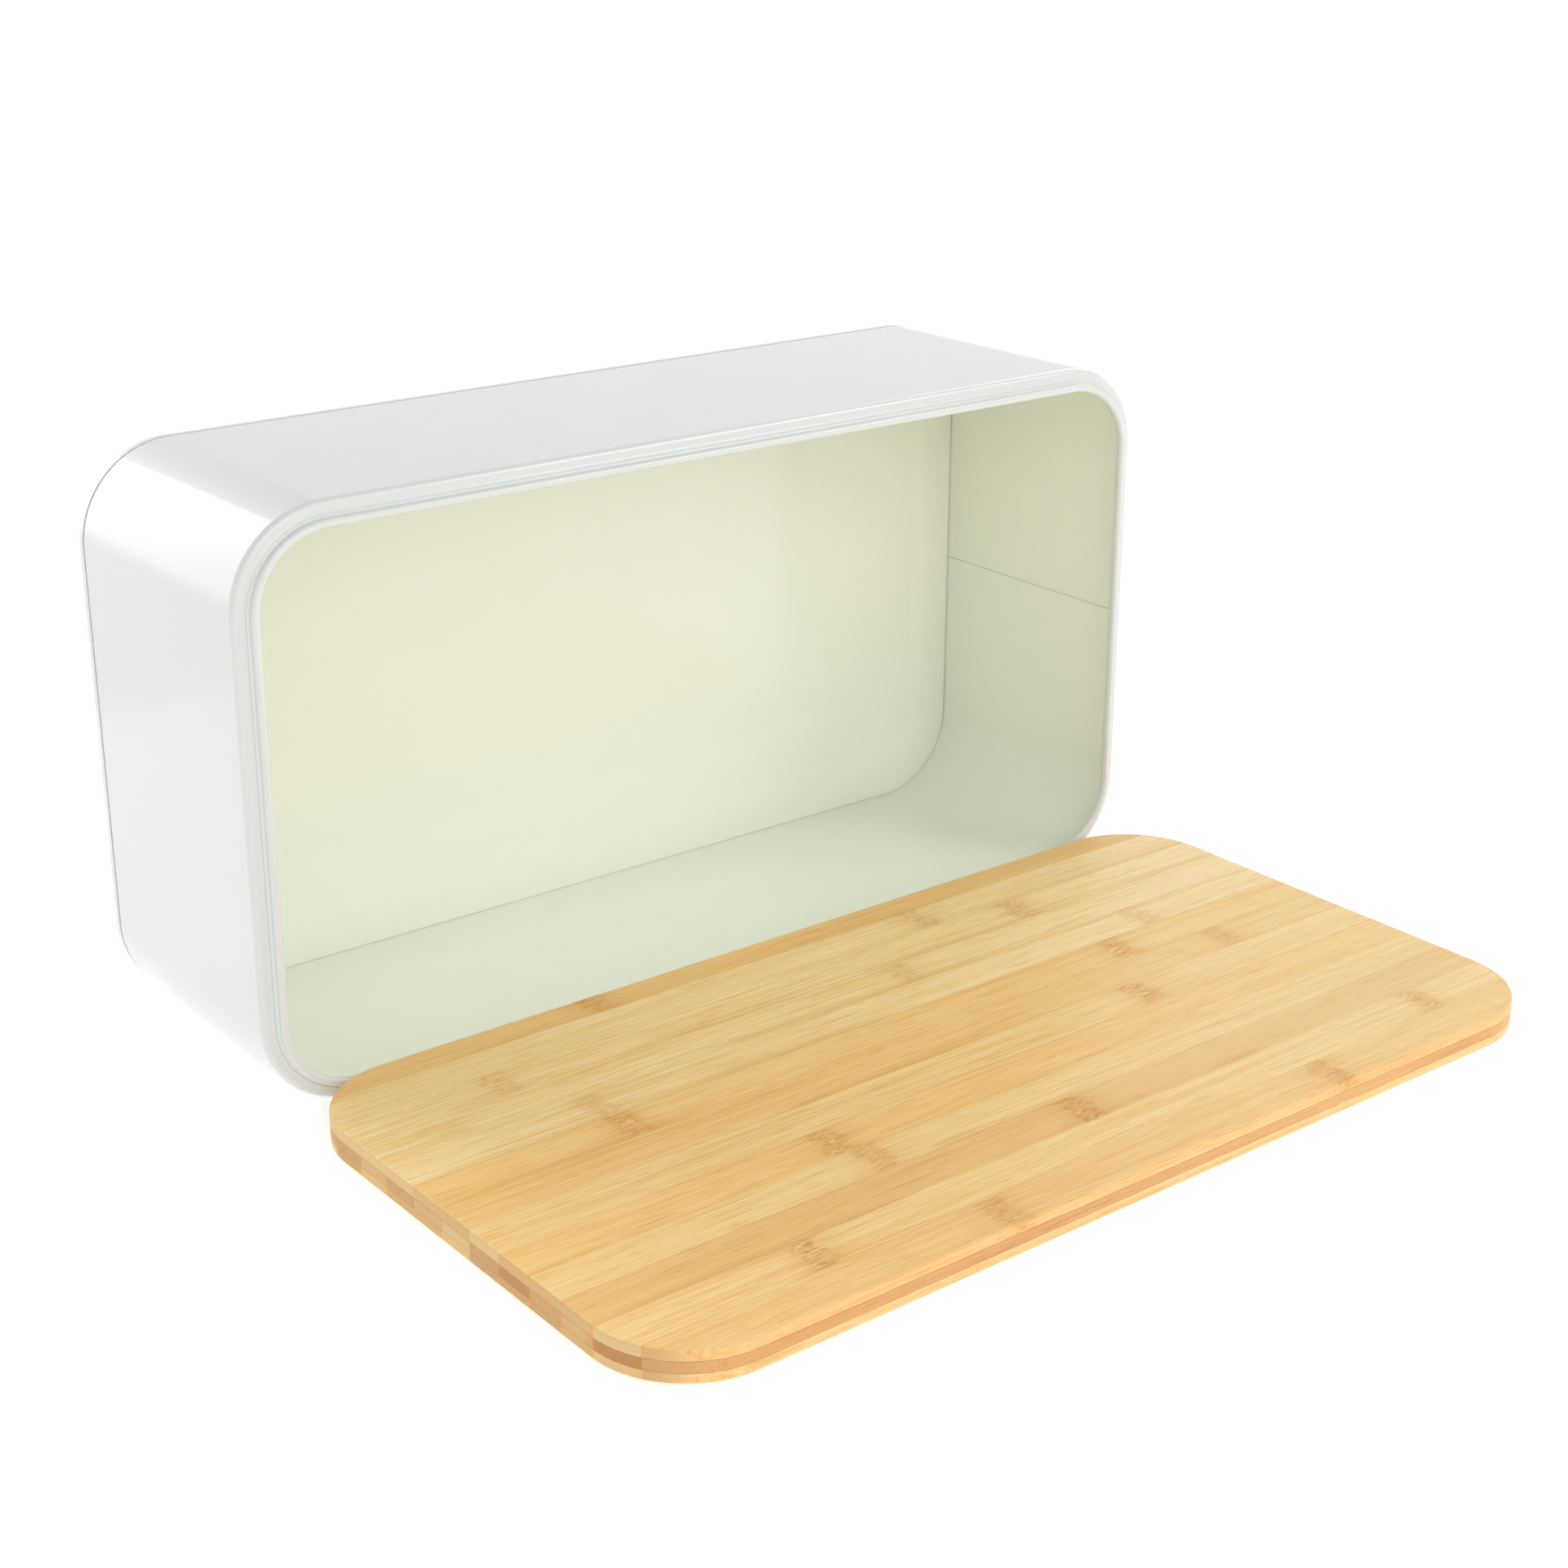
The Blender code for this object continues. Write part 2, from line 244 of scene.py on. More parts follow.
class Nodes:
    """Adds shader nodes to one new material."""

    def __init__(self, name):
        self.material = bpy.data.materials.new(name)
        self.material.use_nodes = True
        self.tree = self.material.node_tree
        self.shader = self.tree.nodes["Principled BSDF"]
        self.place = self.add("ShaderNodeTexCoord").outputs["Object"]

    def add(self, kind, **settings):
        node = self.tree.nodes.new(kind)
        for name, value in settings.items():
            setattr(node, name, value)
        return node

    def feed(self, socket, value):
        if isinstance(value, bpy.types.NodeSocket):
            self.tree.links.new(value, socket)
        elif isinstance(value, tuple) and len(value) == 3 and socket.type == "RGBA":
            socket.default_value = (*value, 1.0)
        else:
            socket.default_value = value

    def math(self, operation, *values, clamp=False):
        node = self.add("ShaderNodeMath", operation=operation, use_clamp=clamp)
        for socket, value in zip(node.inputs, values):
            self.feed(socket, value)
        return node.outputs[0]

    def stretch(self, vector, scale, offset=(0.0, 0.0, 0.0)):
        node = self.add("ShaderNodeMapping", vector_type="POINT")
        self.feed(node.inputs["Vector"], vector)
        node.inputs["Scale"].default_value = scale
        node.inputs["Location"].default_value = offset
        return node.outputs[0]

    def noise(self, vector, scale=1.0, detail=2.0, roughness=0.5):
        node = self.add("ShaderNodeTexNoise")
        self.feed(node.inputs["Vector"], vector)
        node.inputs["Scale"].default_value = scale
        node.inputs["Detail"].default_value = detail
        node.inputs["Roughness"].default_value = roughness
        return node.outputs[0]

    def grain(self, kind, vector, drift):
        """Noise drawn out along the strip."""
        along, across, detail, roughness = GRAINS[kind]
        return self.noise(self.stretch(vector, (along, across, across), drift), 1.0, detail, roughness)

    def ramp(self, value, start, end, low=0.0, high=1.0):
        """A smooth step from low to high as the value goes from start to end."""
        node = self.add("ShaderNodeMapRange", interpolation_type="SMOOTHSTEP")
        for socket, number in zip(node.inputs, (value, start, end, low, high)):
            self.feed(socket, number)
        return node.outputs[0]

    def mix(self, factor, first, second, blend="MIX"):
        node = self.add("ShaderNodeMix", data_type="RGBA", blend_type=blend)
        colours = [socket for socket in node.inputs if socket.type == "RGBA"]
        self.feed(node.inputs[0], factor)
        self.feed(colours[0], first)
        self.feed(colours[1], second)
        return [socket for socket in node.outputs if socket.type == "RGBA"][0]

    def bump(self, height, distance, strength=1.0, under=None):
        node = self.add("ShaderNodeBump")
        self.feed(node.inputs["Height"], height)
        node.inputs["Distance"].default_value = distance
        node.inputs["Strength"].default_value = strength
        if under:
            self.feed(node.inputs["Normal"], under)
        return node.outputs[0]

    def strongest(self, masks):
        """The highest of some masks at each point, or 0 where there are none."""
        highest = masks[0] if masks else 0.0
        for mask in masks[1:]:
            highest = self.math("MAXIMUM", highest, mask)
        return highest

    def split(self, vector):
        node = self.add("ShaderNodeSeparateXYZ")
        self.feed(node.inputs[0], vector)
        return node.outputs

    def finish(self, **inputs):
        for name, value in inputs.items():
            self.feed(self.shader.inputs[name.replace("_", " ")], value)
        return self.material


def make_enamel(name):
    """Glossy enamel: near white outside, creamier inside and lighter there as painted light, with
    orange peel and tiny pinholes.
    """
    n = Nodes(name)
    inside = n.add("ShaderNodeAttribute", attribute_name="inside").outputs["Fac"]
    tint = n.mix(inside, OUTSIDE_TINT, INSIDE_TINT)
    # Painted light: below 0 the stored value lightens the bead's valley and its lit flank.
    tint = n.mix(n.math("MULTIPLY", inside, -1.0, clamp=True), tint, PAINTED_LIGHT_TINT)
    clouds = n.noise(n.place, scale=7.0, detail=0.0)
    tint = n.mix(n.ramp(clouds, 0.30, 0.75, 0.0, 0.035), tint, CLOUD_TINT, "MULTIPLY")
    edge = n.add("ShaderNodeNewGeometry").outputs["Pointiness"]
    worn = n.math("MULTIPLY", n.ramp(edge, 0.54, 0.62), n.noise(n.place, scale=260.0, detail=3.0))
    tint = n.mix(n.math("MULTIPLY", worn, 0.25), tint, WORN_TINT)
    cells = n.add("ShaderNodeTexVoronoi", feature="F1")
    n.feed(cells.inputs["Vector"], n.place)
    cells.inputs["Scale"].default_value = PINHOLES_PER_METRE
    chance = n.split(cells.outputs["Color"])[0]
    hole = n.ramp(cells.outputs["Distance"], 0.010, 0.005)
    hole = n.math("MULTIPLY", hole, n.math("GREATER_THAN", chance, 1 - PINHOLE_SHARE))
    tint = n.mix(n.math("MULTIPLY", hole, 0.6), tint, PINHOLE_TINT)
    peel = n.noise(n.place, scale=620.0, detail=2.0)
    waves = n.noise(n.place, scale=26.0, detail=0.0)
    normal = n.bump(peel, 0.000004, 1.0, n.bump(waves, 0.00005, 1.0))
    rough = n.ramp(n.noise(n.place, scale=60.0, detail=2.0), 0.3, 0.7, 0.29, 0.34)
    return n.finish(Base_Color=tint, Roughness=rough, Normal=normal, Coat_Weight=0.55,
                    Coat_Roughness=0.07, Coat_Normal=normal, Specular_IOR_Level=0.5)


def bamboo_mark(n, kind, where, strength, seed, front):
    """Masks of one knuckle or smudge: how much it darkens softly, and where its strokes are."""
    x, y, _ = n.split(n.place)
    across = n.add("ShaderNodeCombineXYZ")
    n.feed(across.inputs[0], n.math("MULTIPLY", y, WANDERS_PER_METRE))
    n.feed(across.inputs[1], seed)
    wander = n.noise(across.outputs[0], scale=1.0, detail=2.0)
    shift = n.math("MULTIPLY", n.math("SUBTRACT", wander, 0.5), WANDER[kind])
    away = n.math("ABSOLUTE", n.math("SUBTRACT", n.math("ADD", x, shift), where))
    if kind == "smudge":
        from_front = n.math("SUBTRACT", y, front)
        soft = n.math("MULTIPLY", n.ramp(away, *SMUDGE_REACH), n.ramp(from_front, *SMUDGE_HEIGHT))
        return n.math("MULTIPLY", soft, strength), None
    soft = n.math("MULTIPLY", n.ramp(away, *SOFT_REACH), SOFT_SHARE * strength)
    patchy = n.ramp(n.noise(across.outputs[0], scale=1.7, detail=1.0), 0.30, 0.60, 0.55, 1.0)
    band = n.math("MULTIPLY", n.math("MULTIPLY", n.ramp(away, *BAND_REACH), patchy), strength)
    return soft, band


def swerve_fibres(n, drift, band):
    """The strip's own coordinates, bent so that fibres swerve a little, and more at a knuckle."""
    x, y, z = n.split(n.place)
    swerve = n.math("SUBTRACT", n.grain("swerve", n.place, drift), 0.5)
    curl = n.math("SUBTRACT", n.grain("curl", n.place, drift), 0.5)
    bend = n.math("ADD", n.math("MULTIPLY", swerve, SWERVE),
                  n.math("MULTIPLY", n.math("MULTIPLY", curl, band), CURL))
    bent = n.add("ShaderNodeCombineXYZ")
    n.feed(bent.inputs[0], x)
    n.feed(bent.inputs[1], n.math("ADD", y, bend))
    n.feed(bent.inputs[2], z)
    return bent.outputs[0]


def bamboo_tones(n, tone, drift, front_side):
    """Tone at each point, and the bright, deep and dark tones that the grain adds to it.

    Along its length each strip's tone drifts towards the tone that all of them share.
    """
    drifting = n.ramp(n.grain("tone_drift", n.place, drift), 0.36, 0.64)
    tone_here = n.mix(n.math("MULTIPLY", drifting, 0.75), tone, SHARED)
    x = n.split(n.place)[0]
    # Painted sheen: paler towards the right end, but not on faces that look to the front.
    painted_sheen = n.math("MULTIPLY", n.ramp(x, *PAINTED_SHEEN_FROM_TO), n.math("SUBTRACT", 1.0, front_side))
    tone_here = n.mix(painted_sheen, tone_here, RIGHT_END_PAINTED_SHEEN, "MULTIPLY")
    deep = n.mix(1.0, tone_here, DEEP_SHARE, "MULTIPLY")
    dark = n.mix(1.0, tone_here, DARK_SHARE, "MULTIPLY")
    bright = tuple(min(t * gain, 0.96) for t, gain in zip(tone, BRIGHT_GAIN))
    return tone_here, bright, deep, dark


def bamboo_grain(n, fibre, drift, tones):
    """Colour of the long fibres and short flecks, with the masks of the streaks and fine fibres."""
    tone_here, bright, deep, dark = tones
    other_drift = drift[::-1]
    broad = n.grain("broad", fibre, drift)
    streaks = n.grain("streaks", fibre, drift)
    fine = n.grain("fine", fibre, drift)
    dashes = n.ramp(n.grain("dashes", fibre, drift), 0.60, 0.70)
    pales = n.ramp(n.grain("pales", fibre, other_drift), 0.60, 0.72)
    flecks = n.ramp(n.grain("flecks", fibre, drift), 0.58, 0.70)
    pores = n.ramp(n.grain("pores", fibre, other_drift), 0.58, 0.70)
    colour = n.mix(n.ramp(broad, 0.34, 0.68), tone_here, deep)
    colour = n.mix(n.ramp(streaks, 0.40, 0.62), colour, bright)
    colour = n.mix(n.ramp(fine, 0.42, 0.68, 0.0, 0.55), colour, deep)
    colour = n.mix(n.math("MULTIPLY", dashes, 0.70), colour, dark)
    colour = n.mix(n.math("MULTIPLY", pales, 0.60), colour, bright)
    colour = n.mix(n.math("MULTIPLY", flecks, 0.50), colour, bright)
    colour = n.mix(n.math("MULTIPLY", pores, 0.55), colour, dark)
    return colour, streaks, fine


def add_knuckles(n, colour, fibre, drift, tones, band):
    """Short dark and pale strokes in the band of each knuckle."""
    tone_here, bright, _, dark = tones
    strokes = n.grain("strokes", fibre, drift)
    glints = n.grain("glints", fibre, drift[::-1])
    scorch = n.mix(1.0, tone_here, SCORCH_SHARE, "MULTIPLY")
    colour = n.mix(n.math("MULTIPLY", band, 0.50), colour, dark)
    colour = n.mix(n.math("MULTIPLY", n.ramp(strokes, 0.43, 0.56), band), colour, scorch)
    return n.mix(n.math("MULTIPLY", n.ramp(glints, 0.52, 0.60), band), colour, bright)


def add_glue_lines(n, colour, drift, dark, front, back):
    """Thin lines that fade in and out along a strip's long sides, and a soft shade at its front."""
    y = n.split(n.place)[1]
    from_side = n.math("MINIMUM", n.math("SUBTRACT", y, front), n.math("SUBTRACT", back, y))
    line = n.ramp(from_side, GLUE_REACH, 0.0)
    patchy = n.ramp(n.grain("glue_patches", n.place, drift), 0.40, 0.66)
    colour = n.mix(n.math("MULTIPLY", n.math("MULTIPLY", line, patchy), 0.65), colour, dark)
    shade = n.ramp(n.math("SUBTRACT", y, front), *SHADE_REACH)
    stretches = n.ramp(n.grain("shade_patches", n.place, drift), 0.50, 0.68)
    return n.mix(n.math("MULTIPLY", n.math("MULTIPLY", shade, stretches), 0.50), colour, dark)


def make_bamboo(name, tone, end_tone, seed, front, back, marks):
    """Bamboo strip along X: streaked fibres, dotted end grain, darker knuckles, a thin glue line."""
    n = Nodes(name)
    drift = (seed * 0.73, seed * 1.31, seed * 0.57)
    masks = [bamboo_mark(n, kind, where, strength, seed + where * 90.0, front)
             for kind, where, strength in marks]
    soft = n.strongest([soft for soft, band in masks])
    bands = [band for soft, band in masks if band]
    band = n.strongest(bands)
    fibre = swerve_fibres(n, drift, band)
    facing_x, facing_y, _ = n.split(n.add("ShaderNodeNewGeometry").outputs["Normal"])
    front_side = n.ramp(facing_y, -0.45, -0.85)
    tones = bamboo_tones(n, tone, drift, front_side)
    dark = tones[-1]
    colour, streaks, fine = bamboo_grain(n, fibre, drift, tones)
    # Painted shade: darkens the faces that look to the front.
    colour = n.mix(front_side, colour, FRONT_SIDE_PAINTED_SHADE, "MULTIPLY")

    # Ends of the strip: fibres show as dots, and the tone turns flatter.
    end = n.ramp(n.math("ABSOLUTE", facing_x), 0.45, 0.85)
    dots = n.ramp(n.grain("end_dots", n.place, drift), 0.50, 0.66)
    end_colour = n.mix(n.math("MULTIPLY", dots, 0.30), end_tone, dark)
    colour = n.mix(end, colour, end_colour)

    soft = n.math("MULTIPLY", soft, n.ramp(streaks, 0.62, 0.42, 0.45, 1.0))
    colour = n.mix(soft, colour, dark)
    if bands:
        colour = add_knuckles(n, colour, fibre, drift, tones, band)
    colour = add_glue_lines(n, colour, drift, dark, front, back)

    rough = n.math("ADD", n.ramp(streaks, 0.3, 0.7, 0.38, 0.46), n.math("MULTIPLY", band, 0.12))
    shine = n.math("SUBTRACT", 0.35, n.math("MULTIPLY", end, 0.25))
    relief = n.math("ADD", n.math("MULTIPLY", fine, 0.6), n.math("MULTIPLY", streaks, 0.4))
    normal = n.bump(relief, 0.00006, 0.5)
    return n.finish(Base_Color=colour, Roughness=rough, Normal=normal, Specular_IOR_Level=shine)


def make_mesh_object(name, rings, closed, materials, inside=None):
    """Join rings of equal length with quads, and store how far inside the bin each point counts;
    values below 0 mark painted light.
    """
    mesh = bpy.data.meshes.new(name)
    bm = bmesh.new()
    rows = [[bm.verts.new(point) for point in ring] for ring in rings]
    size = len(rings[0])
    last = len(rows) if closed else len(rows) - 1
    for i in range(last):
        here = rows[i]
        there = rows[(i + 1) % len(rows)]
        for j in range(size):
            k = (j + 1) % size
            bm.faces.new((here[j], here[k], there[k], there[j]))
    if not closed:
        bm.faces.new(rows[0])
        bm.faces.new(list(reversed(rows[-1])))
    bmesh.ops.recalc_face_normals(bm, faces=bm.faces)
    bm.to_mesh(mesh)
    bm.free()
    if inside:
        values = mesh.attributes.new("inside", "FLOAT", "POINT")
        values.data.foreach_set("value", inside)
    for material in materials:
        mesh.materials.append(material)
    mesh.shade_smooth()
    mesh.set_sharp_from_angle(angle=SHARP_ANGLE)
    obj = bpy.data.objects.new(name, mesh)
    bpy.context.scene.collection.objects.link(obj)
    return obj


def arc(centre, radius, start, turn, steps):
    """Points along an arc in an (inset, y) section, both ends included."""
    points = []
    for i in range(steps + 1):
        angle = start + turn * i / steps
        points.append((centre[0] + radius * math.cos(angle), centre[1] + radius * math.sin(angle)))
    return points


def thicken(path, thickness):
    """Both sides of a sheet of even thickness that follows a path, with mitred bends."""
    sides = ([], [])
    for i, point in enumerate(path):
        before = path[max(i - 1, 0)]
        after = path[min(i + 1, len(path) - 1)]
        into = math.atan2(point[1] - before[1], point[0] - before[0])
        out = math.atan2(after[1] - point[1], after[0] - point[0])
        if i == 0:
            into = out
        if i == len(path) - 1:
            out = into
        bend = math.remainder(out - into, 2 * math.pi)
        normal = into + bend / 2 + math.pi / 2
        reach = thickness / 2 / math.cos(bend / 2)
        for side, sign in zip(sides, (1, -1)):
            side.append((point[0] + sign * reach * math.cos(normal),
                         point[1] + sign * reach * math.sin(normal)))
    return sides


class Bin:
    """The bin's place and size, read from its CAD boxes."""

    def __init__(self):
        self.low, self.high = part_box("wall_band")
        self.mouth = self.low.y
        self.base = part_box("base_pan")[1].y

    def columns(self):
        """Places round the outline: a corner centre, the direction out of it and a seam flag."""
        left = self.low.x + CORNER_RADIUS
        right = self.high.x - CORNER_RADIUS
        low = self.low.z + CORNER_RADIUS
        high = self.high.z - CORNER_RADIUS
        middle = (self.low.z + self.high.z) / 2
        corners = [(right, low, -90), (right, high, 0), (left, high, 90), (left, low, 180)]
        columns = []
        for number, (x, z, start) in enumerate(corners):
            for i in range(CORNER_STEPS + 1):
                angle = math.radians(start + 90 * i / CORNER_STEPS)
                columns.append((x, z, math.cos(angle), math.sin(angle), False))
            # The seam runs halfway up the right-hand short wall.
            if number == 0:
                for shift in (-SEAM_WIDTH / 2, 0, SEAM_WIDTH / 2):
                    columns.append((right, middle + shift, 1.0, 0.0, shift == 0))
        return columns

    def wall_path(self):
        """Middle line of the wall sheet, from the hem round the shoulder and along the ledge."""
        half = SHEET / 2
        step_end = self.base - HEM_WIDTH
        path = [(STEP_IN + half, self.base - SHEET - GAP), (STEP_IN + half, step_end),
                (half, step_end - STEP_IN)]
        lean = math.pi / 2 - LEDGE_TURN
        join_radius = BEAD_RADIUS - half
        join = (BEAD_INSET + join_radius * math.sin(lean),
                self.mouth + BEAD_RADIUS + join_radius * math.cos(lean))
        bend_radius = SHOULDER_RADIUS - half
        bend_end = SHOULDER_RADIUS - bend_radius * math.cos(LEDGE_TURN)
        bend_end_y = join[1] + (join[0] - bend_end) * math.tan(lean)
        bend_y = bend_end_y + bend_radius * math.sin(LEDGE_TURN)
        path += arc((SHOULDER_RADIUS, bend_y), bend_radius, math.pi, LEDGE_TURN, SHOULDER_STEPS)
        for i in range(RIB_STEPS + 1):
            share = i / RIB_STEPS
            inset = RIB_INSET + RIB_WIDTH * (share - 0.5)
            rise = RIB_RISE * (1 - math.cos(2 * math.pi * share)) / 2
            path.append((inset, join[1] + (join[0] - inset) * math.tan(lean) - rise))
        return path

    def bead(self):
        """Outline of the closed bead, from the ledge's back round to the paint-filled crease."""
        lean = math.pi / 2 - LEDGE_TURN
        centre = (BEAD_INSET, self.mouth + BEAD_RADIUS)
        height = BEAD_RADIUS - SHEET
        reach = math.sqrt((BEAD_RADIUS + BEAD_FILLET) ** 2 - (height - BEAD_FILLET) ** 2)
        back = height - BEAD_FILLET
        crease = (centre[0] - reach * math.cos(lean) + back * math.sin(lean),
                  centre[1] + reach * math.sin(lean) + back * math.cos(lean))
        start = math.pi / 2 - lean
        touch = math.atan2(crease[1] - centre[1], crease[0] - centre[0]) - 2 * math.pi
        round_bead = arc(centre, BEAD_RADIUS, start, touch - start, BEAD_STEPS)
        valley = arc(crease, BEAD_FILLET, touch + math.pi, start - touch - math.pi, VALLEY_STEPS)
        return round_bead, valley


def place(column, inset, y):
    """World point at a distance in from the bin's outer face."""
    x, z, out_x, out_z, _ = column
    reach = CORNER_RADIUS - inset
    return (x + reach * out_x, y, z + reach * out_z)


def hump(number, first, last):
    """Rises from 0 to 1 and falls back to 0 between two numbers."""
    share = min(max((number - first) / (last - first), 0.0), 1.0)
    return math.sin(math.pi * share)


def rim_tint(number, out_x, out_z):
    """How creamy the wall is at a point of its section: 1 inside, 0 outside, -1 where painted light
    lightens the valley and the lit flank.
    """
    creamy = max(0.0, 1.0 - max(number, 0) / FADE_POINTS)
    # Painted light: a lighter tint in the valley and on the flank that faces the light.
    painted_valley_light = hump(number, BEAD_STEPS, BEAD_STEPS + VALLEY_STEPS + 1)
    lit = min(max(0.5 - 0.6 * out_x + 0.4 * out_z, 0.0), 1.0)
    flank = lit * hump(number, *FLANK_POINTS)
    return creamy - painted_valley_light - flank


def make_wall(shape, enamel):
    """Wall sheet with its rolled rim. The creamy inside tint ends where the bead turns forward."""
    inner, outer = thicken(shape.wall_path(), SHEET)
    round_bead, valley = shape.bead()
    section = inner + round_bead + valley + outer[::-1]
    last = len(section) - 1
    rings = []
    tint = []
    for column in shape.columns():
        _, _, out_x, out_z, on_seam = column
        ring = []
        for i, (inset, y) in enumerate(section):
            if on_seam and min(i, last - i) in STRAIGHT_POINTS:
                inset += SEAM_DEPTH if inset < SHEET / 2 else -SEAM_DEPTH
            ring.append(place(column, inset, y))
            tint.append(rim_tint(i - len(inner), out_x, out_z))
        rings.append(ring)
    wall = make_mesh_object("bin_wall", rings, True, [enamel], tint)
    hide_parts("wall_band")
    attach(wall, "bin")


def smooth_step(start, end, low, high, steps):
    """Points of a soft S-shaped press between two levels."""
    points = []
    for i in range(steps + 1):
        share = i / steps
        blend = (1 - math.cos(math.pi * share)) / 2
        points.append((start + (end - start) * share, low + (high - low) * blend))
    return points


def base_path(shape):
    """Middle line of the base sheet, from the pressed panel out to the hem."""
    half = SHEET / 2
    face = shape.base - PANEL_RECESS + half
    skirt = SHEET + SKIRT_GAP + half
    hem_skirt = skirt + STEP_IN
    step_end = shape.base - HEM_WIDTH - (SHEET + SKIRT_GAP) * math.tan(math.pi / 8)
    press_end = PRESS_INSET + PRESS_WIDTH
    path = [(press_end + PRESS_WIDTH, face + PRESS_DEPTH)]
    path += smooth_step(press_end, PRESS_INSET, face + PRESS_DEPTH, face, PRESS_STEPS)
    path += arc((skirt + BEND_RADIUS, face + BEND_RADIUS), BEND_RADIUS,
                1.5 * math.pi, -math.pi / 2, BEND_STEPS)
    path += [(skirt, step_end - STEP_IN), (hem_skirt, step_end)]
    turn_y = shape.base - half - BEND_RADIUS
    path += arc((hem_skirt - BEND_RADIUS, turn_y), BEND_RADIUS, 0.0, math.pi / 2, HEM_STEPS)
    path += arc((half + BEND_RADIUS, turn_y), BEND_RADIUS, math.pi / 2, math.pi / 2, HEM_STEPS)
    path.append((half, shape.base - HEM_WIDTH + GAP))
    return path


def make_base(shape, enamel):
    """Base panel, skirt and folded hem in one sheet, creamy on the side that faces the mouth and
    lighter there as painted light.

    Along the wall that the bin lies on, paint fills the crease between the panel and the wall.
    """
    columns = [column for column in shape.columns() if not column[4]]
    inner, outer = thicken(base_path(shape), SHEET)
    section = inner + outer[::-1]
    first = PRESS_STEPS + 2
    bend = range(first, first + BEND_STEPS + 1)
    corner = (SHEET + SKIRT_GAP, section[first][1])
    rings = []
    for i, (inset, y) in enumerate(section):
        ring = []
        for column in columns:
            snug = SNUG_SHARE * max(-column[3], 0.0) if i in bend else 0.0
            ring.append(place(column, inset + (corner[0] - inset) * snug, y + (corner[1] - y) * snug))
        rings.append(ring)
    tint = []
    for i in range(len(section)):
        creamy = i < len(inner) and section[i][1] < shape.base - PANEL_RECESS / 2
        tint += [1.0 if creamy else 0.0] * len(columns)
    base = make_mesh_object("bin_base", rings, False, [enamel], tint)
    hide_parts("base_pan")
    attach(base, "bin")


class Board:
    """The lid's place and size, read from its CAD boxes."""

    def __init__(self):
        boxes = {}
        for ply in PLIES:
            for number in range(1, STRIP_COUNT + 1):
                boxes[ply, number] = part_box(f"lid_{ply}_strip_{number:02d}")
        self.boxes = boxes
        self.left = min(low.x for low, high in boxes.values())
        self.right = max(high.x for low, high in boxes.values())
        self.front = min(low.y for low, high in boxes.values())
        self.back = max(high.y for low, high in boxes.values())

    def limits(self, ply, number):
        """Front and back of a strip, with only the glue line left between neighbours."""
        low, high = self.boxes[ply, number]
        front = low.y
        back = high.y
        if number < STRIP_COUNT:
            front = (low.y + self.boxes[ply, number + 1][1].y) / 2 + GLUE_LINE / 2
        if number > 1:
            back = (high.y + self.boxes[ply, number - 1][0].y) / 2 - GLUE_LINE / 2
        return front, back

    def levels(self, ply):
        """Heights of a ply and how far its outer edge is eased in at each."""
        index = PLIES.index(ply)
        low, high = self.boxes[ply, 1]
        bottom = low.z
        top = high.z
        if index > 0:
            bottom = (bottom + self.boxes[PLIES[index - 1], 1][1].z) / 2 + PLY_LINE / 2
        if index < 2:
            top = (top + self.boxes[PLIES[index + 1], 1][0].z) / 2 - PLY_LINE / 2
        ease = []
        for i in range(EASE_STEPS + 1):
            angle = math.pi / 2 * i / EASE_STEPS
            ease.append((EASED_EDGE * (1 - math.sin(angle)), EASED_EDGE * (1 - math.cos(angle))))
        if ply == "top":
            return [(bottom, 0.0)] + [(top - drop, inset) for drop, inset in ease]
        if ply == "bottom":
            return [(bottom + drop, inset) for drop, inset in reversed(ease)] + [(top, 0.0)]
        return [(bottom, 0.0), (top, 0.0)]

    def ring(self, ply, number, inset, z):
        """Outline of a strip at one height, its ends following the board's rounded corners."""
        front, back = self.limits(ply, number)
        middle = (self.left + self.right) / 2, (self.front + self.back) / 2
        half_length = (self.right - self.left) / 2
        half_width = (self.back - self.front) / 2
        right = end_line(front - middle[1], back - middle[1], inset, half_length, half_width)
        left = [(-x, y) for x, y in reversed(right)]
        return [(middle[0] + x, middle[1] + y, z) for x, y in right + left]


def corner_angle(y, radius, half_width):
    """Angle round the board's corner at which a line across the board meets it."""
    past = max(abs(y) - (half_width - LID_CORNER_RADIUS), 0.0)
    return math.copysign(math.asin(min(past / radius, 1.0)), y)


def end_line(low, high, inset, half_length, half_width):
    """Points up the right-hand end of a strip."""
    radius = LID_CORNER_RADIUS - inset
    corner_x = half_length - LID_CORNER_RADIUS
    corner_y = half_width - LID_CORNER_RADIUS
    full_turn = (corner_angle(high, LID_CORNER_RADIUS, half_width)
                 - corner_angle(low, LID_CORNER_RADIUS, half_width))
    steps = math.ceil(full_turn / END_STEP)
    line = []
    if abs(low) <= corner_y:
        line.append((corner_x + radius, low))
    if steps:
        start = corner_angle(low, radius, half_width)
        turn = corner_angle(high, radius, half_width) - start
        centre_y = math.copysign(corner_y, low + high)
        for i in range(steps + 1):
            angle = start + turn * i / steps
            line.append((corner_x + radius * math.cos(angle), centre_y + radius * math.sin(angle)))
    if abs(high) <= corner_y:
        line.append((corner_x + radius, high))
    return line


